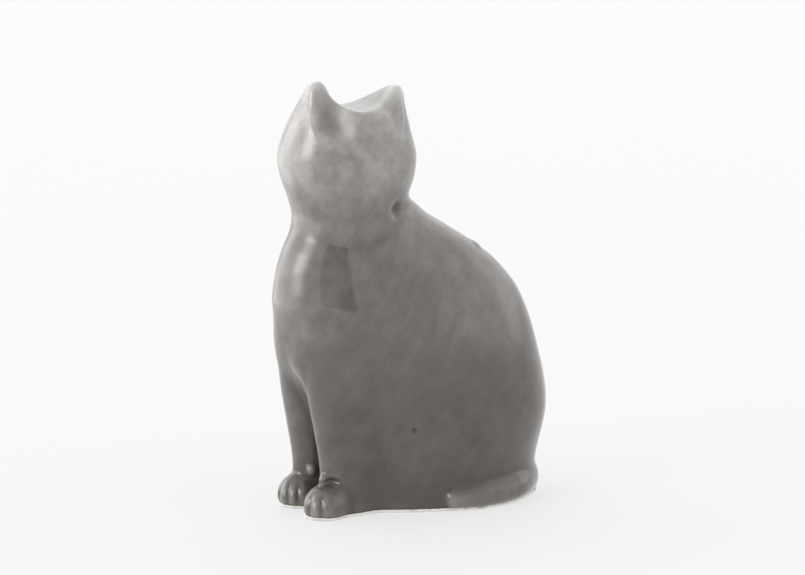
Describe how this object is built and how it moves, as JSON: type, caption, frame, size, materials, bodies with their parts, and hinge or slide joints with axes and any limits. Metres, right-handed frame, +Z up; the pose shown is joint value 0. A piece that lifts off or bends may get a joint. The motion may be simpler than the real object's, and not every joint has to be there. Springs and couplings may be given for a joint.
{
  "type": "cat figurine",
  "caption": "Sitting cat figurine in glazed porcelain, chest forward and head turned to its left, with upright ears, forelegs together and the tail laid along the base.",
  "frame": {"origin": "centre of the outline, on the plane the foot rests on", "axes": "+Z up, -Y the way the chest faces, +X the cat's left flank and the way the head looks"},
  "size_m": [0.0394, 0.0732, 0.1081],
  "materials": {
    "porcelain": "unglazed, fine matt bisque",
    "glaze": "glossy translucent grey glaze, paler where thin, darker where it pools"
  },
  "bodies": {
    "root": {"torso_casting": "porcelain", "head_casting": "porcelain", "left_ear": "porcelain", "right_ear": "porcelain", "left_foreleg": "porcelain", "right_foreleg": "porcelain", "tail": "porcelain", "glaze_coat": "glaze"}
  },
  "joints": []
}
